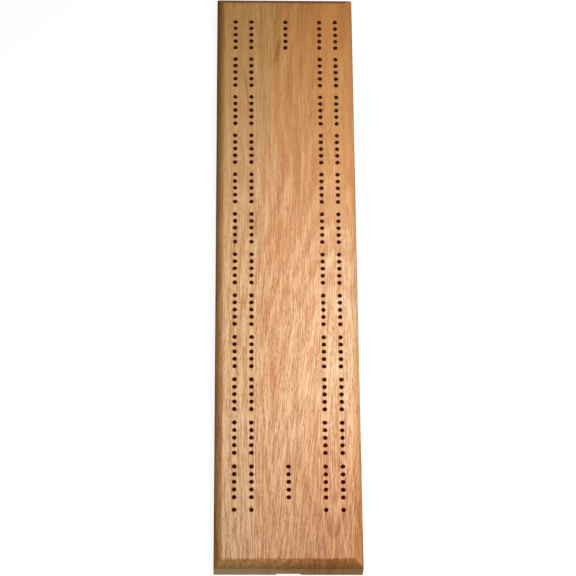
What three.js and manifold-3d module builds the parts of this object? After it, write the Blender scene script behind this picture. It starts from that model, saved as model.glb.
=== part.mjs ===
// Four-track cribbage board: one solid oak board with blind peg holes, a sliding cover over a peg
// compartment in its underside, and the six pegs that the compartment holds.
// Millimetres. +Z is up, the board lies along Y with its start holes towards -Y, and the origin is the
// centre of the underside.
import * as THREE from "three";
import { mergeGeometries, mergeVertices } from "three/addons/utils/BufferGeometryUtils.js";
import Module from "manifold-3d";

const wasm = await Module();
wasm.setup();

// ---- driving dimensions ----------------------------------------------------------------------------

const LENGTH = 512;
const WIDTH = 114;
const THICKNESS = 19.05;

// Moulded top edge: a shallow convex arc that falls from the playing face to the upright edge.
const MOULDING_WIDTH = 6.35;
const MOULDING_DROP = 6.35;
const MOULDING_BULGE = 0.6;
const MOULDING_STEPS = 4;

// Peg holes.
const HOLE_DIAMETER = 3.57;
const HOLE_DEPTH = 8.5;
const HOLE_SIDES = 8;
const HOLE_PITCH = 6.35;
const HOLES_PER_GROUP = 5;
const GROUP_PITCH = 36.83;
const GROUPS = 12;
const START_HOLE_GAP = 10.25;
const START_HOLE_FROM_END = 45.65;
const INNER_TRACK = 28.6;
const OUTER_TRACK = 41.9;
const PATTERN_SHIFT = 0.35;

// Groove, kerf and compartment in the underside, all on the centre line.
const GROOVE_WIDTH = 19;
const GROOVE_DEPTH = 1.2;
const KERF_WIDTH = 22.4;
const KERF_TOP = 2.3;
const SLOT_LENGTH = 104;
const POCKET_WIDTH = 16.4;
const POCKET_LENGTH = 75;
const POCKET_TOP = 8.2;
const POCKET_CORNER = 3.2;
const POCKET_FROM_END = 20;

// Sliding cover.
const COVER_WIDTH = 21.8;
const COVER_LENGTH = 101;
const COVER_THICKNESS = 0.9;
const COVER_GAP = 0.1;
const COVER_FROM_END = 1;
const COVER_CORNER = 2;
const THUMB_DIAMETER = 13;
const THUMB_DEPTH = 0.4;
const THUMB_FROM_END = 12;

// Pegs.
const PEG_LENGTH = 32;
const PEG_HEAD_DIAMETER = 4.8;
const PEG_HEAD_LENGTH = 6;
const PEG_WAIST_DIAMETER = 2.6;
const PEG_WAIST_LENGTH = 1.6;
const PEG_SHANK_DIAMETER = 3.3;
const PEG_TIP_DIAMETER = 2.4;
const PEG_SIDES = 16;
const PEG_SPACING = 5.2;
const PEG_PLAY = 2.3;
const PEG_ROW_GAP = 2 * PEG_PLAY + 0.4;
const PEGS_PER_PLAYER = 3;

// A cutter runs this far past the face that it opens.
const CUT_PAST = 1;

// ---- materials -------------------------------------------------------------------------------------

const oak = () => new THREE.MeshStandardMaterial({ color: 0xc8966b, roughness: 0.5, metalness: 0 });
const brass = () => new THREE.MeshStandardMaterial({ color: 0xc9a24e, roughness: 0.3, metalness: 1 });
const steel = () => new THREE.MeshStandardMaterial({ color: 0xb9bcc0, roughness: 0.25, metalness: 1 });

// ---- solids ----------------------------------------------------------------------------------------

// A closed geometry as a solid that can be cut.
function solid(geometry) {
  const bare = new THREE.BufferGeometry();
  const source = geometry.index ? geometry.toNonIndexed() : geometry;
  bare.setAttribute("position", source.getAttribute("position"));
  const merged = mergeVertices(bare, 1e-4);
  return new wasm.Manifold(
    new wasm.Mesh({
      numProp: 3,
      vertProperties: merged.attributes.position.array,
      triVerts: new Uint32Array(merged.index.array),
    }),
  );
}

function geometryOf(cut) {
  const mesh = cut.getMesh();
  const geometry = new THREE.BufferGeometry();
  geometry.setAttribute("position", new THREE.BufferAttribute(mesh.vertProperties, 3));
  geometry.setIndex(new THREE.BufferAttribute(mesh.triVerts, 1));
  geometry.computeVertexNormals();
  return geometry;
}

function namedMesh(name, geometry, material) {
  const mesh = new THREE.Mesh(geometry, material);
  mesh.name = name;
  return mesh;
}

// A rectangle in the XY plane with round corners: [radius at the -Y end, radius at the +Y end].
function roundedRectangle(width, length, [nearRadius, farRadius]) {
  const x = width / 2;
  const shape = new THREE.Shape();
  shape.moveTo(-x + nearRadius, 0);
  shape.lineTo(x - nearRadius, 0);
  if (nearRadius > 0) shape.absarc(x - nearRadius, nearRadius, nearRadius, -Math.PI / 2, 0);
  shape.lineTo(x, length - farRadius);
  if (farRadius > 0) shape.absarc(x - farRadius, length - farRadius, farRadius, 0, Math.PI / 2);
  shape.lineTo(-x + farRadius, length);
  if (farRadius > 0) shape.absarc(-x + farRadius, length - farRadius, farRadius, Math.PI / 2, Math.PI);
  shape.lineTo(-x, nearRadius);
  if (nearRadius > 0) shape.absarc(-x + nearRadius, nearRadius, nearRadius, Math.PI, 1.5 * Math.PI);
  return shape;
}

// That outline as a slab from z = low to z = high, its -Y end at y = start.
function slab(width, length, radii, start, low, high) {
  const outline = roundedRectangle(width, length, radii);
  const settings = { depth: high - low, bevelEnabled: false, curveSegments: 6 };
  return new THREE.ExtrudeGeometry(outline, settings).translate(0, start, low);
}

// ---- board -----------------------------------------------------------------------------------------

// A stack of rectangles, each [inset from the board's outline, height], skinned into a closed blank.
function stackedRectangles(levels) {
  const positions = [];
  const faces = [];
  for (const [inset, z] of levels) {
    const x = WIDTH / 2 - inset;
    const y = LENGTH / 2 - inset;
    positions.push(-x, -y, z, x, -y, z, x, y, z, -x, y, z);
  }
  for (let level = 0; level < levels.length - 1; level++) {
    for (let corner = 0; corner < 4; corner++) {
      const a = 4 * level + corner;
      const b = 4 * level + ((corner + 1) % 4);
      faces.push(a, b, b + 4, a, b + 4, a + 4);
    }
  }
  const top = 4 * (levels.length - 1);
  faces.push(0, 3, 2, 0, 2, 1);
  faces.push(top, top + 1, top + 2, top, top + 2, top + 3);
  const geometry = new THREE.BufferGeometry();
  geometry.setAttribute("position", new THREE.Float32BufferAttribute(positions, 3));
  geometry.setIndex(faces);
  return geometry;
}

// The moulding's levels, from its foot on the upright edge to the playing face.
function mouldingLevels() {
  const levels = [];
  for (let step = 0; step <= MOULDING_STEPS; step++) {
    const t = step / MOULDING_STEPS;
    const bulge = MOULDING_BULGE * Math.sin(Math.PI * t);
    const inset = MOULDING_WIDTH * t - bulge;
    const z = THICKNESS - MOULDING_DROP * (1 - t) + bulge;
    levels.push([Math.max(inset, 0), Math.min(z, THICKNESS)]);
  }
  return levels;
}

// Centres of all the peg holes, as [x, y].
function holeCentres() {
  const startY = -LENGTH / 2 + START_HOLE_FROM_END;
  const firstGroupY = startY + START_HOLE_GAP;
  const centres = [];
  const addGroup = (x, group) => {
    for (let hole = 0; hole < HOLES_PER_GROUP; hole++) {
      centres.push([x, firstGroupY + group * GROUP_PITCH + hole * HOLE_PITCH]);
    }
  };
  for (const track of [-OUTER_TRACK, -INNER_TRACK, INNER_TRACK, OUTER_TRACK]) {
    const x = track + PATTERN_SHIFT;
    centres.push([x, startY]);
    for (let group = 0; group < GROUPS; group++) addGroup(x, group);
  }
  addGroup(PATTERN_SHIFT, 0);
  addGroup(PATTERN_SHIFT, GROUPS - 1);
  return centres;
}

// All the drills' cylinders in one geometry.
function holeCutter() {
  const depth = HOLE_DEPTH + CUT_PAST;
  const drill = new THREE.CylinderGeometry(HOLE_DIAMETER / 2, HOLE_DIAMETER / 2, depth, HOLE_SIDES);
  drill.rotateX(Math.PI / 2);
  drill.translate(0, 0, THICKNESS - HOLE_DEPTH + depth / 2);
  drill.deleteAttribute("normal");
  drill.deleteAttribute("uv");
  return mergeGeometries(holeCentres().map(([x, y]) => drill.clone().translate(x, y, 0)));
}

function makeBoard() {
  const end = -LENGTH / 2;
  const slotLength = SLOT_LENGTH + CUT_PAST;
  const slotStart = end - CUT_PAST;
  const groove = slab(GROOVE_WIDTH, slotLength, [0, GROOVE_WIDTH / 2], slotStart, -CUT_PAST, KERF_TOP);
  const kerf = slab(KERF_WIDTH, slotLength, [0, GROOVE_WIDTH / 2], slotStart, GROOVE_DEPTH, KERF_TOP);
  const corners = [POCKET_CORNER, POCKET_CORNER];
  const pocketStart = end + POCKET_FROM_END;
  const pocket = slab(POCKET_WIDTH, POCKET_LENGTH, corners, pocketStart, GROOVE_DEPTH, POCKET_TOP);
  const board = solid(stackedRectangles([[0, 0], ...mouldingLevels()]))
    .subtract(solid(holeCutter()))
    .subtract(solid(groove))
    .subtract(solid(kerf))
    .subtract(solid(pocket));
  return namedMesh("board", geometryOf(board), oak());
}

// ---- sliding cover ---------------------------------------------------------------------------------

// A thin plate with round inner corners and a shallow dished thumb recess in its lower face.
function makeCover() {
  const start = -LENGTH / 2 + COVER_FROM_END;
  const low = GROOVE_DEPTH + COVER_GAP;
  const radii = [COVER_CORNER, GROOVE_WIDTH / 2 - 1];
  const plate = slab(COVER_WIDTH, COVER_LENGTH, radii, start, low, low + COVER_THICKNESS);
  const sphereRadius = (THUMB_DIAMETER ** 2 / 4 + THUMB_DEPTH ** 2) / (2 * THUMB_DEPTH);
  const halfAngle = Math.asin(THUMB_DIAMETER / 2 / sphereRadius);
  const profile = [];
  for (let step = 0; step <= 3; step++) {
    const angle = (halfAngle * step) / 3;
    const height = THUMB_DEPTH - sphereRadius * (1 - Math.cos(angle));
    profile.push(new THREE.Vector2(sphereRadius * Math.sin(angle), height));
  }
  profile.push(new THREE.Vector2(THUMB_DIAMETER / 2, -CUT_PAST), new THREE.Vector2(0, -CUT_PAST));
  const dish = new THREE.LatheGeometry(profile.reverse(), 20);
  dish.rotateX(Math.PI / 2);
  dish.translate(0, start + THUMB_FROM_END, low);
  return namedMesh("peg_cover", geometryOf(solid(plate).subtract(solid(dish))), brass());
}

// ---- pegs ------------------------------------------------------------------------------------------

// A turned peg along +Y from its domed head at y = 0 to its tip.
function pegGeometry() {
  const head = PEG_HEAD_DIAMETER / 2;
  const waist = PEG_WAIST_DIAMETER / 2;
  const shankStart = PEG_HEAD_LENGTH + PEG_WAIST_LENGTH;
  const profile = [
    [0, 0],
    [0.6 * head, 0.2],
    [0.9 * head, 0.8],
    [head, 1.8],
    [head, PEG_HEAD_LENGTH - 0.6],
    [head - 0.5, PEG_HEAD_LENGTH],
    [waist, PEG_HEAD_LENGTH + 0.3],
    [waist, shankStart - 0.2],
    [PEG_SHANK_DIAMETER / 2, shankStart],
    [PEG_TIP_DIAMETER / 2, PEG_LENGTH - 0.7],
    [0.6 * (PEG_TIP_DIAMETER / 2), PEG_LENGTH - 0.1],
    [0, PEG_LENGTH],
  ];
  const points = profile.map(([radius, along]) => new THREE.Vector2(radius, along));
  return new THREE.LatheGeometry(points, PEG_SIDES);
}

// Six pegs lie side by side in two rows of three, heads to the compartment's two ends.
function makePegs() {
  const pegs = new THREE.Group();
  const pocketStart = -LENGTH / 2 + POCKET_FROM_END;
  const slack = POCKET_LENGTH - 2 * PEG_LENGTH - PEG_ROW_GAP;
  const restHeight = GROOVE_DEPTH + COVER_GAP + COVER_THICKNESS + 0.3 + PEG_HEAD_DIAMETER / 2;
  const geometry = pegGeometry();
  for (let index = 0; index < PEGS_PER_PLAYER; index++) {
    const x = (index - (PEGS_PER_PLAYER - 1) / 2) * PEG_SPACING;
    const brassPeg = namedMesh(`brass_peg_${index + 1}`, geometry, brass());
    brassPeg.position.set(x, pocketStart + slack / 2, restHeight);
    const steelPeg = namedMesh(`steel_peg_${index + 1}`, geometry, steel());
    steelPeg.position.set(x, pocketStart + POCKET_LENGTH - slack / 2, restHeight);
    steelPeg.rotation.z = Math.PI;
    pegs.add(brassPeg, steelPeg);
  }
  return pegs;
}

// ---- assembly --------------------------------------------------------------------------------------

const cribbageBoard = new THREE.Group();
cribbageBoard.add(makeBoard());
cribbageBoard.add(makeCover());
cribbageBoard.add(makePegs());

export default cribbageBoard;
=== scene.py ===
"""Looks of the cribbage board: a drilled red oak board, its sliding brass cover and its turned pegs.

Metres, +Z up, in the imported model's frame: the board lies along Y with its start holes towards -Y, and the
origin is the centre of its underside.
"""

import math

import bmesh
import bpy
from mathutils import Matrix, Vector


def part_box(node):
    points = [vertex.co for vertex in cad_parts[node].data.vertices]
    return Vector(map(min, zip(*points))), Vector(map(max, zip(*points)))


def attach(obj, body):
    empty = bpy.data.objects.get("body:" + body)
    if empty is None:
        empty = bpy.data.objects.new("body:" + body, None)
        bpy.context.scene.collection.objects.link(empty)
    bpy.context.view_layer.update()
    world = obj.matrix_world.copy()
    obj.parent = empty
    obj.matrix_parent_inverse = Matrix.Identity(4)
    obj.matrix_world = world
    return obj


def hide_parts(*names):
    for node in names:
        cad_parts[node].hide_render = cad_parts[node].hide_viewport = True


MM = 0.001

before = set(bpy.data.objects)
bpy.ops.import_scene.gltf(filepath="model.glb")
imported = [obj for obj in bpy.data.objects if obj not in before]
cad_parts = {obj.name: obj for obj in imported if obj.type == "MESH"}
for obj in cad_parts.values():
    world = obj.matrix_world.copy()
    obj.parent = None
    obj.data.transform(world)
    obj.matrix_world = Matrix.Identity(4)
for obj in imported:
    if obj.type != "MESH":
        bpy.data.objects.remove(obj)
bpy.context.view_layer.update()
board_low, board_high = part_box("board")
cover_low, cover_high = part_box("peg_cover")

# ---- dimensions, as the CAD model has them ---------------------------------------------------------

HALF_WIDTH = board_high.x
HALF_LENGTH = board_high.y
THICKNESS = board_high.z

MOULDING_WIDTH = 6.35 * MM
MOULDING_DROP = 6.35 * MM
MOULDING_BULGE = 0.6 * MM
MOULDING_STEPS = 18

HOLE_RADIUS = 1.785 * MM
HOLE_DEPTH = 8.5 * MM
HOLE_PITCH = 6.35 * MM
HOLES_PER_GROUP = 5
GROUP_PITCH = 36.83 * MM
GROUPS = 12
START_HOLE_GAP = 10.25 * MM
START_HOLE_FROM_END = 45.65 * MM
INNER_TRACK = 28.6 * MM
OUTER_TRACK = 41.9 * MM
PATTERN_SHIFT = 0.35 * MM

GROOVE_WIDTH = 19 * MM
GROOVE_DEPTH = 1.2 * MM
KERF_WIDTH = 22.4 * MM
KERF_TOP = 2.3 * MM
SLOT_LENGTH = 104 * MM
POCKET_WIDTH = 16.4 * MM
POCKET_LENGTH = 75 * MM
POCKET_TOP = 8.2 * MM
POCKET_CORNER = 3.2 * MM
POCKET_FROM_END = 20 * MM

COVER_NEAR_CORNER = 2 * MM
COVER_FAR_CORNER = 8.5 * MM
THUMB_RADIUS = 6.5 * MM
THUMB_DEPTH = 0.4 * MM
THUMB_FROM_END = 12 * MM

PEG_LENGTH = 32 * MM
PEG_HEAD_RADIUS = 2.4 * MM
PEG_HEAD_LENGTH = 6 * MM
PEG_WAIST_RADIUS = 1.3 * MM
PEG_WAIST_LENGTH = 1.6 * MM
PEG_SHANK_RADIUS = 1.64 * MM
PEG_TIP_RADIUS = 1.2 * MM

# Softened edges and small features that only the visual model has.
ARRIS = 0.35 * MM
ARRIS_STEPS = 6
CORNER_RADIUS = 0.7 * MM
CORNER_STEPS = 6
CREST_EASE = 0.35 * MM
CREST_CORNER = 0.15 * MM
HOLE_EASE = 0.08 * MM
HOLE_SIDES = 28
DRILL_POINT = 0.5 * MM
SQUARE_CORNER = 0.01 * MM
CUTTER_CORNER_STEPS = 12
COVER_EDGE = 0.12 * MM
COVER_CORNER_STEPS = 16
THUMB_MARGIN = 0.6 * MM
THUMB_LIP = 0.01 * MM
THUMB_SIDES = 64
THUMB_STEPS = 10
PEG_SIDES = 40
PEG_DOME = 1.6 * MM
PEG_DOME_STEPS = 8
PEG_RINGS = (2.6 * MM, 3.6 * MM)
PEG_RING_HALF = 0.2 * MM
PEG_RING_DEPTH = 0.18 * MM
PEG_TIP_ROUND = 0.7 * MM
PEG_TIP_STEPS = 6

# How far a cutter reaches past the surface that it opens, and how much two cutters overlap.
CUT_PAST = 1 * MM
CUT_OVERLAP = 0.05 * MM

SHARP_ANGLE = math.radians(20)
LEVEL = 0.9999


# ---- mesh helpers ----------------------------------------------------------------------------------

def arc(centre_x, centre_y, radius, start, end, steps):
    """Points on an arc, both ends included, angles in degrees."""
    points = []
    for step in range(steps + 1):
        angle = math.radians(start + (end - start) * step / steps)
        points.append((centre_x + radius * math.cos(angle), centre_y + radius * math.sin(angle)))
    return points


def rounded_outline(half_x, low_y, high_y, low_radius, high_radius, steps):
    """Anticlockwise outline of a rectangle, with one corner radius for each of its two ends."""
    low_x = half_x - low_radius
    high_x = half_x - high_radius
    return [
        *arc(low_x, low_y + low_radius, low_radius, -90, 0, steps),
        *arc(high_x, high_y - high_radius, high_radius, 0, 90, steps),
        *arc(-high_x, high_y - high_radius, high_radius, 90, 180, steps),
        *arc(-low_x, low_y + low_radius, low_radius, 180, 270, steps),
    ]


def skin(mesh, loops):
    """Closes a stack of loops of equal length, lowest first, into one body."""
    rings = [[mesh.verts.new(point) for point in loop] for loop in loops]
    count = len(loops[0])
    for lower, upper in zip(rings, rings[1:]):
        for i in range(count):
            j = (i + 1) % count
            mesh.faces.new((lower[i], lower[j], upper[j], upper[i]))
    mesh.faces.new(list(reversed(rings[0])))
    mesh.faces.new(rings[-1])


def lathe(mesh, profile, sides, matrix):
    """Turns a profile of (radius, height), axis to axis and bottom first, about local Z."""
    bottom = mesh.verts.new(matrix @ Vector((0, 0, profile[0][1])))
    top = mesh.verts.new(matrix @ Vector((0, 0, profile[-1][1])))
    rings = []
    for radius, height in profile[1:-1]:
        angles = [2 * math.pi * i / sides for i in range(sides)]
        points = [Vector((radius * math.cos(a), radius * math.sin(a), height)) for a in angles]
        rings.append([mesh.verts.new(matrix @ point) for point in points])
    for i in range(sides):
        j = (i + 1) % sides
        mesh.faces.new((bottom, rings[0][j], rings[0][i]))
        mesh.faces.new((top, rings[-1][i], rings[-1][j]))
        for lower, upper in zip(rings, rings[1:]):
            mesh.faces.new((lower[i], lower[j], upper[j], upper[i]))


def make_object(name, mesh, *materials):
    """An object at the origin, made from a bmesh, which is freed."""
    data = bpy.data.meshes.new(name)
    mesh.to_mesh(data)
    mesh.free()
    for material in materials:
        data.materials.append(material)
    made = bpy.data.objects.new(name, data)
    bpy.context.scene.collection.objects.link(made)
    return made


def apply_modifiers(piece):
    """Replaces the piece's mesh with what its modifiers make of it."""
    bpy.context.view_layer.update()
    evaluated = piece.evaluated_get(bpy.context.evaluated_depsgraph_get())
    data = bpy.data.meshes.new_from_object(evaluated)
    old = piece.data
    piece.modifiers.clear()
    piece.data = data
    bpy.data.meshes.remove(old)
    data.name = piece.name


def cut(piece, *cutters):
    """Cuts the closed cutters out of a piece. The new walls keep their cutter's material."""
    for cutter in cutters:
        modifier = piece.modifiers.new(cutter.name, "BOOLEAN")
        modifier.operation = "DIFFERENCE"
        modifier.solver = "EXACT"
        modifier.material_mode = "TRANSFER"
        modifier.object = cutter
    apply_modifiers(piece)
    for cutter in cutters:
        bpy.data.meshes.remove(cutter.data)


def shade(piece):
    """Smooth shading that stops at every edge sharper than SHARP_ANGLE, and all round each level face."""
    mesh = bmesh.new()
    mesh.from_mesh(piece.data)
    mesh.normal_update()
    for face in mesh.faces:
        face.smooth = True
    for edge in mesh.edges:
        level = [abs(face.normal.z) > LEVEL for face in edge.link_faces]
        edge.smooth = len(set(level)) == 1 and edge.calc_face_angle(math.pi) < SHARP_ANGLE
    mesh.to_mesh(piece.data)
    mesh.free()


def stand_for(piece, node, body):
    """The piece stands for the CAD node, whose part it hides, rides its body and is shaded smooth."""
    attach(piece, body)
    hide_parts(node)
    shade(piece)


# ---- material helpers ------------------------------------------------------------------------------

# Nearly all of a noise lies between these.
NOISE_SPAN = (0.2, 0.8)


def linear(red, green, blue):
    """A display colour, 0 to 255 a channel, as the linear RGBA that shaders take."""
    channels = [value / 255 for value in (red, green, blue)]
    return (*[c / 12.92 if c <= 0.04045 else ((c + 0.055) / 1.055) ** 2.4 for c in channels], 1.0)


class Shader:
    """A material's node tree, with one short method for each kind of node that the materials use."""

    def __init__(self, name):
        self.material = bpy.data.materials.new(name)
        self.material.use_nodes = True
        self.tree = self.material.node_tree
        self.surface = self.tree.nodes["Principled BSDF"]

    def node(self, kind, *inputs, **settings):
        made = self.tree.nodes.new("ShaderNode" + kind)
        for key, value in settings.items():
            setattr(made, key, value)
        for socket, value in enumerate(inputs):
            self.feed(made.inputs[socket], value)
        return made

    def feed(self, socket, value):
        if value is None:
            return
        if isinstance(value, bpy.types.NodeSocket):
            self.tree.links.new(value, socket)
        else:
            socket.default_value = value

    def math(self, operation, first, second=None, third=None):
        return self.node("Math", first, second, third, operation=operation).outputs[0]

    def plus(self, first, second):
        return self.math("ADD", first, second)

    def minus(self, first, second):
        return self.math("SUBTRACT", first, second)

    def times(self, first, second):
        return self.math("MULTIPLY", first, second)

    def times_plus(self, first, second, third):
        """first * second + third."""
        return self.math("MULTIPLY_ADD", first, second, third)

    def larger(self, first, second):
        return self.math("MAXIMUM", first, second)

    def distance(self, value, place=0):
        """How far a coordinate is from a place, on either side of it."""
        return self.math("ABSOLUTE", self.minus(value, place))

    def blend(self, factor, first, second):
        """From the first number at factor 0 to the second at factor 1."""
        return self.times_plus(self.minus(second, first), factor, first)

    def either_side(self, noise, width):
        """From half the width below 0 to half of it above, as the noise goes from 0 to 1."""
        return self.times_plus(noise, width, -width / 2)

    def smooth(self, value, low, high, to_low=0.0, to_high=1.0):
        """Goes smoothly from to_low to to_high as the value goes from low to high, and stays there."""
        made = self.node("MapRange", interpolation_type="SMOOTHSTEP")
        self.feed(made.inputs["Value"], value)
        self.feed(made.inputs["From Min"], low)
        self.feed(made.inputs["From Max"], high)
        self.feed(made.inputs["To Min"], to_low)
        self.feed(made.inputs["To Max"], to_high)
        return made.outputs[0]

    def position(self):
        """The point on the piece, in millimetres."""
        point = self.node("TexCoord").outputs["Object"]
        return self.node("VectorMath", point, (1 / MM,) * 3, operation="MULTIPLY").outputs[0]

    def split(self, vector):
        return self.node("SeparateXYZ", vector).outputs

    def join(self, x, y, z):
        return self.node("CombineXYZ", x, y, z).outputs[0]

    def noise(self, vector, size, detail=0.0, roughness=0.5, output="Factor"):
        """Noise from 0 to 1 whose lumps are about the given size, in the vector's units, along each axis."""
        scaled = self.node("VectorMath", vector, size, operation="DIVIDE").outputs[0]
        made = self.node("TexNoise")
        self.feed(made.inputs["Vector"], scaled)
        made.inputs["Scale"].default_value = 1
        made.inputs["Detail"].default_value = detail
        made.inputs["Roughness"].default_value = roughness
        return made.outputs[0 if output == "Factor" else 1]

    def mix(self, factor, first, second, mode="MIX"):
        """From the first colour at factor 0 to the second at factor 1."""
        made = self.node("Mix", data_type="RGBA", blend_type=mode)
        for socket, value in ((0, factor), (6, first), (7, second)):
            self.feed(made.inputs[socket], value)
        return made.outputs[2]

    def tinted(self, factor, colour, tint):
        """The colour, multiplied by the tint as far as the factor says."""
        return self.mix(factor, colour, tint, "MULTIPLY")

    def bump(self, height, depth):
        made = self.node("Bump")
        made.inputs["Strength"].default_value = 1.0
        made.inputs["Distance"].default_value = depth
        self.feed(made.inputs["Height"], height)
        self.feed(self.surface.inputs["Normal"], made.outputs[0])

    def set(self, **values):
        for name, value in values.items():
            self.feed(self.surface.inputs[name.replace("_", " ")], value)


# ---- red oak ---------------------------------------------------------------------------------------

OLIVE_TAN = linear(201, 158, 112)
SALMON_TAN = linear(211, 158, 112)
FLAME_TAN = linear(202, 148, 103)
ORANGE_TAN = linear(214, 159, 108)
CREAM = linear(213, 171, 130)

# Tints multiply the colour under them.
AMBER_TINT = (1.04, 0.96, 0.66, 1)
# Painted shade over the -Y end.
NEAR_END_SHADE_TINT = (0.82, 0.73, 0.515, 1)
FAR_CORNER_TINT = (1.0, 0.91, 0.91, 1)
STREAK_LIGHT = (1.05, 1.14, 1.24, 1)
STREAK_DARK = (0.85, 0.71, 0.55, 1)
FIGURE_DARK = (0.80, 0.60, 0.36, 1)
PORE_DARK = (0.66, 0.48, 0.34, 1)
RAY_DARK = (0.82, 0.70, 0.62, 1)
MINERAL_DARK = (0.70, 0.66, 0.55, 1)
# Painted shade along the foot of each side.
FOOT_SHADE_TINT = (0.55, 0.52, 0.52, 1)
# Painted shade on the shaped edges.
EDGE_SHADE_TINT = (0.76, 0.62, 0.40, 1)
END_TINT = (0.86, 1.02, 0.90, 1)
END_FACE_TINT = (1.15, 1.18, 1.32, 1)

# Sizes of the noises in millimetres. Most are long along Y, as wood is.
DRIFT_SIZE = (70, 240, 70)
WOBBLE_SIZE = (14, 75, 14)
RIPPLE_SIZE = (5, 60, 5)
BROAD_SIZE = (10, 120, 10)
BAND_SIZE = (5.5, 85, 5.5)
STRIPE_SIZE = (3.5, 200, 3.5)
STREAK_SIZE = (1.5, 75, 1.5)
BOLD_DASH_SIZE = (0.8, 26, 0.8)
FINE_DASH_SIZE = (0.5, 25, 0.5)
VESSEL_SIZE = (0.28, 4.5, 0.28)
RAY_SIZE = (0.45, 7, 14)
RAY_TURN = 60

# The pairs below are where a feature starts and ends: ALONG is along Y, ACROSS is along X, and SIDES is to
# either side of a middle. All are in millimetres, but an EDGE is in the feature's own units.

# The pith line under the board, and the rings about it.
PITH_X = 34
PITH_DEPTH = 58
PITH_DIP = 8
PITH_DIP_ALONG = (-90, 100)
PITH_END_DIP = 5
PITH_END_ALONG = (-250, -150)
RING_WIDTH = 4.6
RING_RIPPLE = 1.1
EARLY_START_EDGE = (0.0, 0.25)
EARLY_END_EDGE = (0.3, 1.0)

# The grain drifts about, and leans towards +X on its way to +Y: all of it in the middle of the board, the
# strands near the -Y end, and the bands everywhere but at -X, where narrower stripes take their place.
DRIFT_WIDTHS = (4, 10)
DRIFT_ACROSS = (-40, -8)
LEAN_SIZE = 5.5
LEAN_MIDDLE = 6
LEAN_SIDES = (6, 36)
LEAN_ALONG = (-35, 70)
STRAND_SLOPE = 0.11
STRAND_MIDDLE = 5
STRAND_SIDES = (13, 27)
STRAND_ALONG = (-100, -20)
BAND_SLOPE = 0.08
STRIPE_ACROSS = (-34, -16)

# Dashes are finer past FINER_ALONG, and count as dark lines over LINE_EDGE. Streaks stand out by CONTRAST.
FINER_ALONG = (-190, -30)
LINE_EDGE = (0.42, 0.6)
CONTRAST = (3.65, 1.1)
CONTRAST_ALONG = (-160, 120)
CONTRAST_OUTSIDE = 0.75
CONTRAST_SIDES = (20, 36)

# How much each noise adds to the streaks' tone, and what they add up to on average.
EARLY_WEIGHT = 0.2
STREAK_WEIGHT = 0.22
BROAD_WEIGHT = 0.12
BAND_WEIGHT = 0.2
LINE_WEIGHT = 0.5
MEAN_TONE = 0.6

# A pore opens where the vessels' noise is over PORE_START, which is less in early wood and in dark lines.
PORE_START = 0.68
PORE_START_EARLY = -0.08
PORE_START_LINE = -0.1
PORE_EDGE = (-0.02, 0.06)
PORE_DEPTHS = (0.85, 0.35)
PORE_ALONG = (-110, 190)
RAY_EDGE = (0.7, 0.78)
RAY_STRENGTH = 0.4

# Broad colour. SHIFTED edges are on a scale of millimetres along X that wanders with the broad noise.
SALMON_START = 8
SALMON_SLOPE = 0.05
SALMON_RAGGED = 12
SALMON_WOBBLE = 20
SALMON_EDGE = (-12, 9)
SALMON_ACROSS = (-40, -22)
SALMON_OUTSIDE = 0.4
SALMON_WEAK_Y = -90
SALMON_WEAK_SIDES = (40, 130)
SALMON_WEAKEST = 0.3
FLAME_EDGE = (0.4, 0.64)
SHIFT_START = 18
SHIFT_WANDER = 36
ORANGE_SHIFTED = (8, 34)
CREAM_SHIFTED = (-10, 44)
CREAM_Y = -50
CREAM_SIDES = (30, 150)
AMBER_ALONG = (40, 250)
CORNER_ALONG = (160, 240)
CORNER_SHIFTED = (0, 26)
# Painted shade at the -Y end: where it fades along Y, where it grows across the shifted scale, and the least
# of it.
NEAR_SHADE_ALONG = (-230, -120)
NEAR_SHADE_SHIFTED = (-30, 14)
NEAR_SHADE_LEAST = 0.25

# Single marks: the place of each, its slope, and where its sides and its ends fade.
FLAMES = (
    ((7, 44), 0.45, (1, 8), (22, 60)),
    ((13, 196), 0.03, (0.5, 4.2), (18, 46)),
    ((-17, -46), -0.05, (1, 7), (8, 30)),
    ((-12, -102), 0.05, (1, 7.5), (8, 30)),
    ((14, -102), 0.13, (0.2, 2.6), (14, 40)),
)
MINERAL_LINE = ((-32.2, 164), -0.11, (0.3, 1.0), (10, 26))
MINERAL_CURL = ((-6.5, 202), 0.2, (0.5, 3.2), (4, 18))

# How far a noise makes the marks waver across, from one side to the other.
FLAME_WAVER = 9
MINERAL_LINE_WAVER = 3
MINERAL_CURL_WAVER = 6

# The figure of nested points near the -Y end: its first tip, and how it opens out.
TIP_X = 33
TIP_Y = -250
TIP_SPACING = 27
TIP_SLOPE = 0.07
TIP_OPENING = 0.31
TIP_RAGGED = 0.8
TIP_START_EDGE = (0, 0.1)
TIP_END_EDGE = (0.2, 0.75)
TIP_SIDES = (12, 24)
TIP_ALONG = (-185, -145)
TIP_LEAST = 0.7

# The edges: how far a face has to turn from level or from the side to take the painted shade of the edges and
# the foot, and the end grain's tint.
SHAPED_EDGE = (0.78, 0.95)
SHAPED_FOOT_EDGE = (0.1, 0.45)
SHAPED_ENDWISE = -0.15
# Painted shade on the shaped edges is less on the +X edge, which faces the key light.
PLUS_X_EDGE = (0.2, 0.6)
PLUS_X_LEAST = 0.2
END_EDGE = (0.4, 0.9)
END_FACE_EDGE = (0.92, 0.99)
SIDE_EDGE = (0.5, 0.99)
# Painted shade at the foot of each side: how high it reaches, and how strong it is at the bottom.
FOOT_SHADE_HEIGHT = 2.2
FOOT_SHADE_STRENGTH = 0.75

# How much the flames darken the figure, how rough the lacquer is, how deep a pore is, and how high the
# dashes stand as a share of that depth.
FLAME_FIGURE = 0.2
SOFT_FLAME_FIGURE = 0.17
OAK_ROUGHNESS = (0.52, 0.66)
PORE_RELIEF = 0.06 * MM
DASH_RELIEF = 0.25


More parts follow.
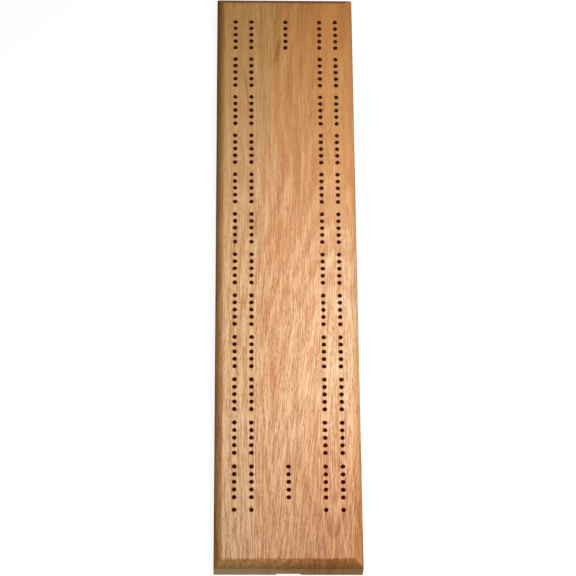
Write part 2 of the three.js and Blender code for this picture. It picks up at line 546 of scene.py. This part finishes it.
class RedOak(Shader):
    """Flat-sawn red oak as a solid texture: rings about a wandering pith line under the board, with pores
    that run along Y, rays that run outward from the pith, and broad bands of tan, salmon and cream."""

    def __init__(self):
        super().__init__("red_oak")
        self.point = self.position()
        self.x, self.y, self.z = self.split(self.point)
        self.ripple = self.noise(self.point, RIPPLE_SIZE, detail=3)
        self.bend_grain()
        self.grow_rings()
        self.lay_fibres()

    def bend_grain(self):
        """The grain's own coordinates: u across the board and w upward. The grain drifts sideways along the
        board, less so towards -X, and leans over in the middle."""
        drift = self.split(self.noise(self.point, DRIFT_SIZE, detail=1, output="Color"))
        width = self.smooth(self.x, *DRIFT_ACROSS, *DRIFT_WIDTHS)
        beside = self.smooth(self.distance(self.x, LEAN_MIDDLE), *LEAN_SIDES, -LEAN_SIZE, 0)
        lean = self.times(self.smooth(self.y, *LEAN_ALONG), beside)
        self.u = self.plus(self.times_plus(self.minus(drift[0], 0.5), width, self.x), lean)
        self.w = self.times_plus(self.minus(drift[1], 0.5), DRIFT_WIDTHS[1], self.z)

    def grow_rings(self):
        """The pith line dips and rises along the board, so that the face shows long ovals. Early wood is the
        open-pored part of each ring."""
        dip = self.smooth(self.y, *PITH_DIP_ALONG, -PITH_DIP, PITH_DIP)
        end = self.smooth(self.y, *PITH_END_ALONG, PITH_DEPTH + PITH_END_DIP, PITH_DEPTH)
        depth = self.plus(dip, end)
        self.across = self.minus(self.u, PITH_X)
        self.above = self.plus(self.w, depth)
        squared = self.plus(self.math("POWER", self.across, 2), self.math("POWER", self.above, 2))
        self.radius = self.math("SQRT", squared)
        rings = self.times_plus(self.ripple, RING_RIPPLE, self.math("DIVIDE", self.radius, RING_WIDTH))
        phase = self.math("FRACT", rings)
        started = self.smooth(phase, *EARLY_START_EDGE)
        self.early = self.times(started, self.smooth(phase, *EARLY_END_EDGE, 1, 0))

    def fibre(self, slope=0):
        """Coordinates for lengthwise features, which follow the grain and lean over by the slope."""
        return self.join(self.times_plus(self.y, -slope, self.u), self.y, self.w)

    def strands(self, fibre):
        """Long streaks, and shorter dashes that are finer away from the -Y end."""
        streak = self.noise(fibre, STREAK_SIZE, detail=2, roughness=0.6)
        bold = self.noise(fibre, BOLD_DASH_SIZE, detail=1)
        fine = self.noise(fibre, FINE_DASH_SIZE, detail=1)
        return streak, self.blend(self.smooth(self.y, *FINER_ALONG), bold, fine)

    def lay_fibres(self):
        """The noises that run along the grain, straight in some places and leaning in others."""
        straight = self.fibre()
        streak, dash = self.strands(straight)
        leaning_streak, leaning_dash = self.strands(self.fibre(STRAND_SLOPE))
        middle = self.smooth(self.distance(self.x, STRAND_MIDDLE), *STRAND_SIDES, 1, 0)
        leaning = self.times(middle, self.smooth(self.y, *STRAND_ALONG, 1, 0))
        self.streak = self.blend(leaning, streak, leaning_streak)
        self.dash = self.blend(leaning, dash, leaning_dash)
        self.line = self.smooth(self.dash, *LINE_EDGE)
        band = self.noise(self.fibre(BAND_SLOPE), BAND_SIZE, detail=1)
        stripe = self.noise(straight, STRIPE_SIZE, detail=1)
        self.band = self.blend(self.smooth(self.x, *STRIPE_ACROSS, 1, 0), band, stripe)
        self.broad = self.noise(straight, BROAD_SIZE, detail=2)
        self.vessel = self.noise(straight, VESSEL_SIZE)

    def mark(self, ragged, place, slope, sides, ends):
        """1 near a place and 0 away from it. The mark is a line that moves by the slope along X for each step
        along Y. Its sides and its ends each fade between two distances. Ragged is added across the line."""
        along = self.minus(self.y, place[1])
        aside = self.times_plus(along, -slope, self.minus(self.x, place[0]))
        across = self.smooth(self.distance(self.plus(aside, ragged)), *sides, 1, 0)
        return self.times(across, self.smooth(self.distance(along), *ends, 1, 0))

    def salmon(self):
        """Where the salmon is: not in a strip at -X, whose border is ragged, and less at SALMON_WEAK_Y."""
        wobble = self.noise(self.point, WOBBLE_SIZE, detail=1)
        border = self.times_plus(self.y, -SALMON_SLOPE, self.minus(self.x, SALMON_START))
        border = self.times_plus(self.plus(self.streak, self.dash), SALMON_RAGGED, border)
        border = self.times_plus(wobble, SALMON_WOBBLE, border)
        from_weak = self.distance(self.y, SALMON_WEAK_Y)
        strength = self.smooth(from_weak, *SALMON_WEAK_SIDES, SALMON_WEAKEST, 1)
        inner = self.smooth(self.x, *SALMON_ACROSS, SALMON_OUTSIDE, 1)
        return self.times(self.times(self.smooth(border, *SALMON_EDGE), strength), inner)

    def single_flames(self):
        """A bold flame that crosses the middle strip at a slant, and smaller ones before and after it."""
        ragged = self.either_side(self.streak, FLAME_WAVER)
        flames = 0
        for place, slope, sides, ends in FLAMES:
            flames = self.larger(flames, self.mark(ragged, place, slope, sides, ends))
        return flames

    def broad_colour(self, salmon, flames):
        """Olive tan towards -X, salmon with darker flames in the middle, and orange and cream towards +X. It
        turns amber towards +Y and redder in the far +X corner, and painted shade darkens the -Y end, most
        towards +X."""
        shifted = self.times_plus(self.broad, SHIFT_WANDER, self.minus(self.u, SHIFT_START))
        colour = self.mix(salmon, OLIVE_TAN, SALMON_TAN)
        colour = self.mix(flames, colour, FLAME_TAN)
        colour = self.mix(self.smooth(shifted, *ORANGE_SHIFTED), colour, ORANGE_TAN)
        cream_along = self.smooth(self.distance(self.y, CREAM_Y), *CREAM_SIDES, 1, 0)
        cream = self.times(self.smooth(shifted, *CREAM_SHIFTED), cream_along)
        colour = self.mix(cream, colour, CREAM)
        colour = self.tinted(self.smooth(self.y, *AMBER_ALONG), colour, AMBER_TINT)
        corner = self.times(self.smooth(self.y, *CORNER_ALONG), self.smooth(shifted, *CORNER_SHIFTED))
        colour = self.tinted(corner, colour, FAR_CORNER_TINT)
        # Painted shade at the -Y end, strongest towards +X.
        near_shade_across = self.smooth(shifted, *NEAR_SHADE_SHIFTED, NEAR_SHADE_LEAST, 1)
        near = self.times(self.smooth(self.y, *NEAR_SHADE_ALONG, 1, 0), near_shade_across)
        return self.tinted(near, colour, NEAR_END_SHADE_TINT)

    def streaked(self, colour):
        """The colour with its streaks, which stand out more towards -Y and in the middle strip. What is
        above the mean tone is dark."""
        tone = self.times_plus(self.early, EARLY_WEIGHT, self.times(self.streak, STREAK_WEIGHT))
        tone = self.times_plus(self.broad, BROAD_WEIGHT, tone)
        tone = self.times_plus(self.band, BAND_WEIGHT, tone)
        tone = self.times_plus(self.line, LINE_WEIGHT, tone)
        outside = self.smooth(self.distance(self.x), *CONTRAST_SIDES, 1, CONTRAST_OUTSIDE)
        contrast = self.times(self.smooth(self.y, *CONTRAST_ALONG, *CONTRAST), outside)
        tone = self.times_plus(self.minus(tone, MEAN_TONE), contrast, 0.5)
        return self.tinted(1.0, colour, self.mix(tone, STREAK_LIGHT, STREAK_DARK))

    def nested_points(self):
        """Near the +X side of the -Y end the rings break the surface in nested points."""
        along = self.minus(self.y, TIP_Y)
        beside = self.minus(self.x, self.times_plus(along, TIP_SLOPE, TIP_X))
        opening = self.times(self.math("POWER", beside, 2), TIP_OPENING)
        nested = self.math("DIVIDE", self.minus(along, opening), TIP_SPACING)
        nested = self.math("FRACT", self.times_plus(self.ripple, TIP_RAGGED, nested))
        started = self.smooth(nested, *TIP_START_EDGE)
        points = self.times(started, self.smooth(nested, *TIP_END_EDGE, 1, 0))
        aside = self.smooth(self.distance(beside), *TIP_SIDES, 1, 0)
        inside = self.times(aside, self.smooth(self.y, *TIP_ALONG, 1, 0))
        return self.times(self.times(points, inside), self.blend(self.line, TIP_LEAST, 1))

    def pores(self):
        """Open vessels, more of them in the early wood and in the dark lines."""
        start = self.times_plus(self.line, PORE_START_LINE, PORE_START)
        start = self.times_plus(self.early, PORE_START_EARLY, start)
        return self.smooth(self.minus(self.vessel, start), *PORE_EDGE)

    def rays(self):
        """Thin sheets that run outward from the pith."""
        turn = self.times(self.math("ARCTAN2", self.across, self.above), RAY_TURN)
        sheet = self.noise(self.join(turn, self.y, self.radius), RAY_SIZE)
        return self.smooth(sheet, *RAY_EDGE)

    def minerals(self):
        """Two mineral marks near the +Y end: a thin line beside the -X tracks, and a curl near the middle."""
        line = self.mark(self.either_side(self.ripple, MINERAL_LINE_WAVER), *MINERAL_LINE)
        curl = self.mark(self.either_side(self.ripple, MINERAL_CURL_WAVER), *MINERAL_CURL)
        return self.larger(line, curl)

    def edge_shade_and_end_grain(self, colour):
        """Painted shade on the shaped edges, less on the +X edge that faces the key light. The end grain
        drinks more of the finish, the end faces are paler and greyer, and painted shade darkens the foot of
        every side."""
        facing = self.split(self.node("TexCoord").outputs["Normal"])
        upright = self.distance(facing[2])
        endwise = self.distance(facing[1])
        steep = self.times_plus(endwise, SHAPED_ENDWISE, upright)
        above_foot = self.smooth(upright, *SHAPED_FOOT_EDGE)
        shaped = self.times(self.smooth(steep, *SHAPED_EDGE, 1, 0), above_foot)
        shaped = self.times(shaped, self.smooth(facing[0], *PLUS_X_EDGE, 1, PLUS_X_LEAST))
        # Painted shade on the shaped edges, less on the +X edge that faces the key light.
        colour = self.tinted(shaped, colour, EDGE_SHADE_TINT)
        colour = self.tinted(self.smooth(endwise, *END_EDGE), colour, END_TINT)
        colour = self.tinted(self.smooth(endwise, *END_FACE_EDGE), colour, END_FACE_TINT)
        # Painted shade along the foot of each side, strongest at the bottom.
        side = self.smooth(upright, *SIDE_EDGE, 1, 0)
        foot_shade = self.times(self.smooth(self.z, 0, FOOT_SHADE_HEIGHT, FOOT_SHADE_STRENGTH, 0), side)
        return self.tinted(foot_shade, colour, FOOT_SHADE_TINT)


def red_oak():
    oak = RedOak()
    salmon = oak.salmon()
    soft_flame = oak.times(oak.smooth(oak.band, *FLAME_EDGE), salmon)
    single = oak.single_flames()
    pore = oak.pores()
    colour = oak.broad_colour(salmon, oak.larger(soft_flame, single))
    colour = oak.streaked(colour)
    figure = oak.larger(oak.times(single, FLAME_FIGURE), oak.times(soft_flame, SOFT_FLAME_FIGURE))
    colour = oak.tinted(oak.larger(oak.nested_points(), figure), colour, FIGURE_DARK)
    pore_depth = oak.smooth(oak.y, *PORE_ALONG, *PORE_DEPTHS)
    colour = oak.tinted(oak.times(pore, pore_depth), colour, PORE_DARK)
    colour = oak.tinted(oak.times(oak.rays(), RAY_STRENGTH), colour, RAY_DARK)
    colour = oak.tinted(oak.minerals(), colour, MINERAL_DARK)
    colour = oak.edge_shade_and_end_grain(colour)
    oak.set(Base_Color=colour, Roughness=oak.smooth(oak.streak, *NOISE_SPAN, *OAK_ROUGHNESS))
    oak.set(IOR=1.45, Coat_Weight=0.1, Coat_Roughness=0.4)
    oak.bump(oak.times_plus(oak.dash, DASH_RELIEF, oak.times(pore, -1)), PORE_RELIEF)
    return oak.material


# ---- bored and routed oak --------------------------------------------------------------------------

# Hole walls: brown from the drill, darkened further with painted shade that deepens towards +Y.
BORE_BROWN_AND_SHADE_NEAR = linear(150, 66, 16)
BORE_BROWN_AND_SHADE_FAR = linear(78, 26, 6)
BORE_SHADE_ALONG = (-200, 200)
BORE_GRAIN_SIZE = (0.5, 0.5, 3)
BORE_GRAIN_EDGE = (0.3, 0.7)
BORE_GRAIN_TINT = (1.4, 1.5, 1.6, 1)
BORE_ROUGHNESS = (0.6, 0.8)
BORE_RELIEF = 0.05 * MM

SAWN_LIGHT = linear(214, 170, 122)
SAWN_DARK = linear(172, 122, 82)
SAWN_FIBRE_SIZE = (0.6, 12, 0.6)
SAWN_FIBRE_EDGE = (0.3, 0.75)
CUTTER_MARK = linear(140, 96, 62)
CUTTER_MARK_SIZE = (4, 0.7, 4)
CUTTER_MARK_EDGE = (0.45, 0.75)
CUTTER_MARK_STRENGTH = 0.25
SAWN_ROUGHNESS = (0.7, 0.85)
SAWN_RELIEF = 0.08 * MM


def browned_and_shaded_bore():
    """The walls of the drilled holes, browned by the drill and darkened further with painted shade, more so
    towards +Y.
    """
    bore = Shader("browned_and_shaded_bore")
    point = bore.position()
    grain = bore.noise(point, BORE_GRAIN_SIZE, detail=2)
    along = bore.split(point)[1]
    # Painted shade in the holes deepens towards +Y.
    colour = bore.mix(bore.smooth(along, *BORE_SHADE_ALONG), BORE_BROWN_AND_SHADE_NEAR, BORE_BROWN_AND_SHADE_FAR)
    colour = bore.tinted(bore.smooth(grain, *BORE_GRAIN_EDGE), colour, BORE_GRAIN_TINT)
    bore.set(Base_Color=colour, Roughness=bore.smooth(grain, *NOISE_SPAN, *BORE_ROUGHNESS))
    bore.bump(grain, BORE_RELIEF)
    return bore.material


def sawn_oak():
    """The routed groove and compartment: the same oak, unfinished and a little paler."""
    raw = Shader("routed_oak")
    point = raw.position()
    fibre = raw.noise(point, SAWN_FIBRE_SIZE, detail=3)
    mark = raw.noise(point, CUTTER_MARK_SIZE, detail=1)
    marked = raw.smooth(mark, *CUTTER_MARK_EDGE, 0, CUTTER_MARK_STRENGTH)
    colour = raw.mix(raw.smooth(fibre, *SAWN_FIBRE_EDGE), SAWN_LIGHT, SAWN_DARK)
    colour = raw.mix(marked, colour, CUTTER_MARK)
    raw.set(Base_Color=colour, Roughness=raw.smooth(fibre, *NOISE_SPAN, *SAWN_ROUGHNESS))
    raw.bump(raw.plus(fibre, mark), SAWN_RELIEF)
    return raw.material


# ---- metals ----------------------------------------------------------------------------------------

BRASS_BRIGHT = linear(226, 190, 108)
BRASS_DULL = linear(176, 138, 74)
BRASS_ROUGHNESS = (0.16, 0.28)
STEEL_BRIGHT = linear(205, 206, 208)
STEEL_DULL = linear(150, 150, 152)
STEEL_ROUGHNESS = (0.14, 0.26)
LATHE_RING_SIZE = (8, 0.12, 8)
LATHE_RING_EDGE = (0.3, 0.7)
LATHE_RING_RELIEF = 0.01 * MM
PEG_FILM_SIZE = (3, 5, 3)
PEG_FILM_EDGE = (0.4, 0.75)

PLATE_BRIGHT = linear(226, 190, 114)
PLATE_DULL = linear(206, 168, 98)
BRUSHING_SIZE = (0.12, 30, 0.12)
BRUSHING_EDGE = (0.3, 0.7)
BRUSHING_ROUGHNESS = (0.4, 0.5)
BRUSHING_RELIEF = 0.012 * MM
PLATE_FILM_SIZE = (7, 14, 7)
PLATE_FILM_EDGE = (0.3, 0.8)
PLATE_FILM_ROUGHNESS = 0.12


def turned_metal(name, bright, dull, roughness):
    """Metal turned on a lathe: rings round the axis, which lies along Y, and a slight film in patches."""
    metal = Shader(name)
    point = metal.position()
    rings = metal.noise(point, LATHE_RING_SIZE, detail=2)
    film = metal.noise(point, PEG_FILM_SIZE, detail=3)
    colour = metal.mix(metal.smooth(film, *PEG_FILM_EDGE), bright, dull)
    metal.set(Base_Color=colour, Roughness=metal.smooth(rings, *LATHE_RING_EDGE, *roughness))
    metal.set(Metallic=1.0)
    metal.bump(rings, LATHE_RING_RELIEF)
    return metal.material


def brushed_brass():
    """Rolled brass plate brushed along its length, duller where it is handled."""
    plate = Shader("brushed_brass")
    point = plate.position()
    brushing = plate.noise(point, BRUSHING_SIZE, detail=2)
    film = plate.noise(point, PLATE_FILM_SIZE, detail=3)
    dulled = plate.smooth(film, *PLATE_FILM_EDGE)
    brushed = plate.smooth(brushing, *BRUSHING_EDGE, *BRUSHING_ROUGHNESS)
    plate.set(Base_Color=plate.mix(dulled, PLATE_BRIGHT, PLATE_DULL), Metallic=1.0)
    plate.set(Roughness=plate.times_plus(dulled, PLATE_FILM_ROUGHNESS, brushed))
    plate.bump(brushing, BRUSHING_RELIEF)
    return plate.material


# ---- the board -------------------------------------------------------------------------------------

def board_levels():
    """(inset from the outline, height, corner radius) from the underside to the playing face."""
    levels = []
    for step in range(ARRIS_STEPS + 1):
        angle = math.radians(90 * step / ARRIS_STEPS)
        levels.append((ARRIS * (1 - math.sin(angle)), ARRIS * (1 - math.cos(angle)), CORNER_RADIUS))
    for step in range(MOULDING_STEPS):
        rise = step / MOULDING_STEPS
        bulge = MOULDING_BULGE * math.sin(math.pi * rise)
        inset = MOULDING_WIDTH * rise - bulge
        height = THICKNESS - MOULDING_DROP * (1 - rise) + bulge
        corner = CORNER_RADIUS * (1 - rise) + CREST_CORNER
        levels.append((max(inset, 0), min(height, THICKNESS), corner))
    levels.append((MOULDING_WIDTH + 0.3 * CREST_EASE, THICKNESS - 0.12 * CREST_EASE, CREST_CORNER))
    levels.append((MOULDING_WIDTH + CREST_EASE, THICKNESS, CREST_CORNER))
    return levels


def blank():
    """The moulded board before any hole or groove is cut."""
    mesh = bmesh.new()
    loops = []
    for inset, height, corner in board_levels():
        half_y = HALF_LENGTH - inset
        outline = rounded_outline(HALF_WIDTH - inset, -half_y, half_y, corner, corner, CORNER_STEPS)
        loops.append([(x, y, height) for x, y in outline])
    skin(mesh, loops)
    return mesh


def hole_centres():
    """Four tracks of a start hole and twelve groups, and two groups of games holes on the centre line."""
    start = -HALF_LENGTH + START_HOLE_FROM_END
    first = start + START_HOLE_GAP

    def group(track, number):
        low = first + number * GROUP_PITCH
        return [(track, low + hole * HOLE_PITCH) for hole in range(HOLES_PER_GROUP)]

    centres = []
    for track in (-OUTER_TRACK, -INNER_TRACK, INNER_TRACK, OUTER_TRACK):
        centres.append((track, start))
        for number in range(GROUPS):
            centres += group(track, number)
    centres += group(0, 0) + group(0, GROUPS - 1)
    return [(x + PATTERN_SHIFT, y) for x, y in centres]


def hole_cutter(material):
    """A drill with a shallow point for each hole, and a slightly eased rim."""
    floor = THICKNESS - HOLE_DEPTH
    profile = [
        (0, floor - DRILL_POINT),
        (HOLE_RADIUS, floor),
        (HOLE_RADIUS, THICKNESS - HOLE_EASE),
        (HOLE_RADIUS + 0.3 * HOLE_EASE, THICKNESS - 0.3 * HOLE_EASE),
        (HOLE_RADIUS + HOLE_EASE, THICKNESS + 0.05 * HOLE_EASE),
        (HOLE_RADIUS + HOLE_EASE, THICKNESS + CUT_PAST),
        (0, THICKNESS + CUT_PAST),
    ]
    mesh = bmesh.new()
    for x, y in hole_centres():
        lathe(mesh, profile, HOLE_SIDES, Matrix.Translation((x, y, 0)))
    return make_object("hole_cutter", mesh, material)


def slab_cutter(name, width, start, length, radii, low, high, material):
    """An upright slab from start to start + length along Y, with a corner radius for each end."""
    mesh = bmesh.new()
    outline = rounded_outline(width / 2, start, start + length, *radii, CUTTER_CORNER_STEPS)
    skin(mesh, [[(x, y, z) for x, y in outline] for z in (low, high)])
    return make_object(name, mesh, material)


def make_board(oak, bore, routed):
    board = make_object("oak_board", blank(), oak)
    end = -HALF_LENGTH
    slot = (end - CUT_PAST, SLOT_LENGTH + CUT_PAST, (SQUARE_CORNER, GROOVE_WIDTH / 2))
    pocket = (end + POCKET_FROM_END, POCKET_LENGTH, (POCKET_CORNER, POCKET_CORNER))
    groove_top = KERF_TOP - CUT_OVERLAP
    cut(
        board,
        slab_cutter("groove_cutter", GROOVE_WIDTH, *slot, -CUT_PAST, groove_top, routed),
        slab_cutter("kerf_cutter", KERF_WIDTH, *slot, GROOVE_DEPTH, KERF_TOP, routed),
        slab_cutter("pocket_cutter", POCKET_WIDTH, *pocket, GROOVE_DEPTH, POCKET_TOP, routed),
        hole_cutter(bore),
    )
    stand_for(board, "board", "board")


# ---- the cover -------------------------------------------------------------------------------------

def plate():
    """The cover's plate, its top and bottom edges eased."""
    mesh = bmesh.new()
    levels = (
        (COVER_EDGE, cover_low.z),
        (0, cover_low.z + COVER_EDGE),
        (0, cover_high.z - COVER_EDGE),
        (COVER_EDGE, cover_high.z),
    )
    loops = []
    for inset, height in levels:
        outline = rounded_outline(
            cover_high.x - inset, cover_low.y + inset, cover_high.y - inset,
            COVER_NEAR_CORNER - inset, COVER_FAR_CORNER - inset, COVER_CORNER_STEPS,
        )
        loops.append([(x, y, height) for x, y in outline])
    skin(mesh, loops)
    return mesh


def thumb_cutter(material):
    """The cap of a large ball, which hollows the plate's underside near its -Y end."""
    ball = (THUMB_RADIUS ** 2 + THUMB_DEPTH ** 2) / (2 * THUMB_DEPTH)
    widest = math.asin(THUMB_RADIUS / ball)
    rim = THUMB_RADIUS + THUMB_MARGIN
    profile = [(0, -CUT_PAST), (rim, -CUT_PAST), (rim, -THUMB_LIP)]
    for step in range(THUMB_STEPS, -1, -1):
        angle = widest * step / THUMB_STEPS
        profile.append((ball * math.sin(angle), THUMB_DEPTH - ball * (1 - math.cos(angle))))
    mesh = bmesh.new()
    middle = Matrix.Translation((0, cover_low.y + THUMB_FROM_END, cover_low.z))
    lathe(mesh, profile, THUMB_SIDES, middle)
    return make_object("thumb_cutter", mesh, material)


def make_cover(brass):
    cover = make_object("sliding_cover", plate(), brass)
    cut(cover, thumb_cutter(brass))
    stand_for(cover, "peg_cover", "cover")


# ---- the pegs --------------------------------------------------------------------------------------

def peg_profile():
    """(radius, distance from the head's end) of a turned peg, head first."""
    head = PEG_HEAD_RADIUS
    shank = PEG_HEAD_LENGTH + PEG_WAIST_LENGTH
    profile = [(0, 0)]
    for step in range(1, PEG_DOME_STEPS + 1):
        angle = math.radians(90 * step / PEG_DOME_STEPS)
        profile.append((head * math.sin(angle), PEG_DOME * (1 - math.cos(angle))))
    for ring in PEG_RINGS:
        profile += [
            (head, ring - PEG_RING_HALF),
            (head - PEG_RING_DEPTH, ring),
            (head, ring + PEG_RING_HALF),
        ]
    profile += [
        (head, PEG_HEAD_LENGTH - 0.5 * MM),
        (head - 0.12 * MM, PEG_HEAD_LENGTH - 0.2 * MM),
        (head - 0.5 * MM, PEG_HEAD_LENGTH),
        (PEG_WAIST_RADIUS + 0.1 * MM, PEG_HEAD_LENGTH + 0.15 * MM),
        (PEG_WAIST_RADIUS, PEG_HEAD_LENGTH + 0.5 * MM),
        (PEG_WAIST_RADIUS, shank - 0.4 * MM),
        (PEG_SHANK_RADIUS - 0.06 * MM, shank - 0.05 * MM),
        (PEG_SHANK_RADIUS, shank + 0.15 * MM),
    ]
    for step in range(PEG_TIP_STEPS + 1):
        angle = math.radians(90 * step / PEG_TIP_STEPS)
        radius = PEG_TIP_RADIUS - PEG_TIP_ROUND * (1 - math.cos(angle))
        profile.append((radius, PEG_LENGTH - PEG_TIP_ROUND * (1 - math.sin(angle))))
    profile.append((0, PEG_LENGTH))
    return profile


def make_peg(node, material, heads_near):
    """A peg on its CAD node's axis, its head towards -Y if heads_near."""
    low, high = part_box(node)
    centre = (low + high) / 2
    head_y = low.y if heads_near else high.y
    along_y = Matrix.Rotation(math.radians(-90 if heads_near else 90), 4, "X")
    mesh = bmesh.new()
    lathe(mesh, peg_profile(), PEG_SIDES, Matrix.Translation((centre.x, head_y, centre.z)) @ along_y)
    peg = make_object("turned_" + node, mesh, material)
    stand_for(peg, node, node)


# ---- stage -----------------------------------------------------------------------------------------

# Each light's place, the point that it faces, its size and its power.
KEY_LIGHT = ((0.10, -0.06, 0.42), (0.02, -0.06, 0), 0.2, 2.4)
FILL_LIGHT = ((-0.3, -0.98, 0.18), (0, -0.26, 0.01), 0.4, 2.5)
CARD_LIGHT = ((0.9, -0.1, 0.1), (0.05, 0, 0.01), 0.5, 1.6)

# The world: its light from above and below, and what the sides multiply it by.
SKY_LIGHT = 0.08
BOUNCE_LIGHT = 0.25
HORIZON = 0.1
DARK_SIDE = 0.35
LIGHT_SIDE = 1.8
SIDE_REACH = 0.7

FLOOR_RADIUS = 6.0
FLOOR_CENTRE = 0.01
FLOOR_DROP = 0.05 * MM
FLOOR_SIDES = 64
FLOOR_GLOW = 0.93
PAPER_GREY = (0.12, 0.12, 0.12, 1)
COVE_RADIUS = 2.0
COVE_STEPS = 12
WALL_TOP = 6.0
WHITE = (1, 1, 1, 1)

CAMERA_PLACE = (-0.04572, -0.89488, 1.76080)
CAMERA_TURN = (26.652, -1.3375, -0.396)
CAMERA_LENS = 152.53
CAMERA_SENSOR = 36
CAMERA_NEAREST = 0.01


def make_camera():
    data = bpy.data.cameras.new("camera")
    data.sensor_width = CAMERA_SENSOR
    data.lens = CAMERA_LENS
    data.clip_start = CAMERA_NEAREST
    camera = bpy.data.objects.new("camera", data)
    bpy.context.scene.collection.objects.link(camera)
    camera.location = CAMERA_PLACE
    camera.rotation_euler = [math.radians(angle) for angle in CAMERA_TURN]
    bpy.context.scene.camera = camera


def area_light(name, place, aim, size, power):
    data = bpy.data.lights.new(name, "AREA")
    data.shape = "DISK"
    data.size = size
    data.energy = power
    light = bpy.data.objects.new(name, data)
    bpy.context.scene.collection.objects.link(light)
    light.location = place
    light.rotation_mode = "QUATERNION"
    light.rotation_quaternion = (Vector(aim) - Vector(place)).to_track_quat("-Z", "Y")
    light.visible_camera = False
    return light


def spare(floor, *lights):
    """Keeps the low lights off the floor, where each would draw a hard line at the edge of its beam."""
    spared = bpy.data.collections.new("not_lit_from_the_side")
    spared.objects.link(floor)
    spared.collection_objects[0].light_linking.link_state = "EXCLUDE"
    for light in lights:
        light.light_linking.receiver_collection = spared


def cove():
    """A round floor that curves up into a wall."""
    profile = [(FLOOR_CENTRE, 0), (FLOOR_RADIUS, 0)]
    profile += arc(FLOOR_RADIUS, COVE_RADIUS, COVE_RADIUS, -90, 0, COVE_STEPS)[1:]
    profile.append((FLOOR_RADIUS + COVE_RADIUS, WALL_TOP))
    mesh = bmesh.new()
    angles = [2 * math.pi * i / FLOOR_SIDES for i in range(FLOOR_SIDES)]
    rings = []
    for radius, height in profile:
        points = [(radius * math.cos(a), radius * math.sin(a), height - FLOOR_DROP) for a in angles]
        rings.append([mesh.verts.new(point) for point in points])
    mesh.faces.new(rings[0])
    for inner, outer in zip(rings, rings[1:]):
        for i in range(FLOOR_SIDES):
            j = (i + 1) % FLOOR_SIDES
            mesh.faces.new((inner[i], outer[i], outer[j], inner[j]))
    for face in mesh.faces:
        face.smooth = True
    return mesh


def make_floor():
    """Pale paper that only the camera sees, so that it throws no light of its own on the board: the lower
    half of the world does that, and can be dimmer than the floor looks."""
    paper = Shader("pale_floor")
    paper.set(Base_Color=PAPER_GREY, Roughness=0.9, Emission_Color=WHITE, Emission_Strength=FLOOR_GLOW)
    floor = make_object("floor", cove(), paper.material)
    floor.visible_diffuse = False
    floor.visible_glossy = False
    return floor


def fade(tree, value, low, high, to_low, to_high):
    """Goes evenly from to_low to to_high as the value goes from low to high, and stays there."""
    made = tree.nodes.new("ShaderNodeMapRange")
    tree.links.new(value, made.inputs["Value"])
    made.inputs["From Min"].default_value = low
    made.inputs["From Max"].default_value = high
    made.inputs["To Min"].default_value = to_low
    made.inputs["To Max"].default_value = to_high
    return made.outputs[0]


def make_world():
    """Dim overhead, so that the key light does the shading, and brighter below, as if a floor reflected it.
    The side that the key light is on, +X, is brighter than the other."""
    world = bpy.data.worlds.new("studio")
    world.use_nodes = True
    tree = world.node_tree
    background = tree.nodes["Background"]
    background.inputs[0].default_value = WHITE
    direction = tree.nodes.new("ShaderNodeSeparateXYZ")
    tree.links.new(tree.nodes.new("ShaderNodeTexCoord").outputs["Generated"], direction.inputs[0])
    upward = fade(tree, direction.outputs[2], -HORIZON, HORIZON, BOUNCE_LIGHT, SKY_LIGHT)
    sideways = fade(tree, direction.outputs[0], -SIDE_REACH, SIDE_REACH, DARK_SIDE, LIGHT_SIDE)
    product = tree.nodes.new("ShaderNodeMath")
    product.operation = "MULTIPLY"
    tree.links.new(upward, product.inputs[0])
    tree.links.new(sideways, product.inputs[1])
    tree.links.new(product.outputs[0], background.inputs[1])
    bpy.context.scene.world = world


def make_stage():
    floor = make_floor()
    area_light("key", *KEY_LIGHT)
    fill = area_light("fill", *FILL_LIGHT)
    card = area_light("card", *CARD_LIGHT)
    spare(floor, fill, card)
    make_world()
    bpy.context.scene.view_settings.view_transform = "Standard"
    make_camera()


# ---- everything ------------------------------------------------------------------------------------

make_board(red_oak(), browned_and_shaded_bore(), sawn_oak())
make_cover(brushed_brass())
brass = turned_metal("turned_brass", BRASS_BRIGHT, BRASS_DULL, BRASS_ROUGHNESS)
steel = turned_metal("turned_steel", STEEL_BRIGHT, STEEL_DULL, STEEL_ROUGHNESS)
for number in (1, 2, 3):
    make_peg(f"brass_peg_{number}", brass, True)
    make_peg(f"steel_peg_{number}", steel, False)
make_stage()
